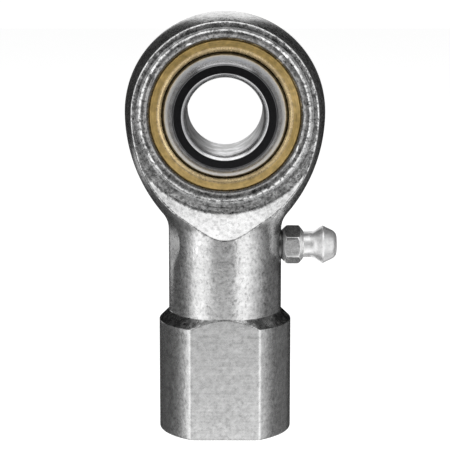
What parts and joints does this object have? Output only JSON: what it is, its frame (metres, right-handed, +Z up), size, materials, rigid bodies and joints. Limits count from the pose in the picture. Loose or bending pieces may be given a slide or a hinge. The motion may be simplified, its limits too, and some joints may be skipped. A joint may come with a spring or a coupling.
{
  "type": "female rod end bearing",
  "caption": "Female rod end: a round head with a swivelling ball in a bronze race, a threaded shank with a wrench collar, and a grease nipple.",
  "frame": {"origin": "centre of the ball, on the axis of its bore", "axes": "+Z up, away from the threaded shank; Y along the ball's bore, with the front face towards -Y; +X towards the grease nipple"},
  "size_m": [0.0355, 0.019, 0.0707],
  "materials": {
    "body_steel": "bright zinc plate over forged and turned steel, satin and slightly speckled",
    "race_bronze": "turned bronze, satin",
    "ball_steel": "hardened and ground steel, polished sphere, darker faces",
    "nipple_steel": "bright zinc plated turned steel",
    "spring_steel": "drawn spring wire"
  },
  "bodies": {
    "housing": {"rod_end_body": "body_steel", "race_half_front": "race_bronze", "race_half_rear": "race_bronze", "nipple_body": "nipple_steel", "nipple_spring": "spring_steel", "nipple_spring_retainer": "nipple_steel"},
    "ball": {"ball": "ball_steel"},
    "check_valve": {"nipple_check_ball": "ball_steel"}
  },
  "joints": [
    {"name": "ball_tilt", "type": "hinge", "parent": "housing", "child": "ball", "pos_m": [0, 0, 0], "axis": [1, 0, 0], "range_deg": [-14, 14]},
    {"name": "check_valve_slide", "type": "slide", "parent": "housing", "child": "check_valve", "axis": [-1, 0, 0], "range_m": [0, 0.0008], "stiffness_N_per_m": 300, "springref_m": -0.001, "deforming": ["nipple_spring"]}
  ]
}
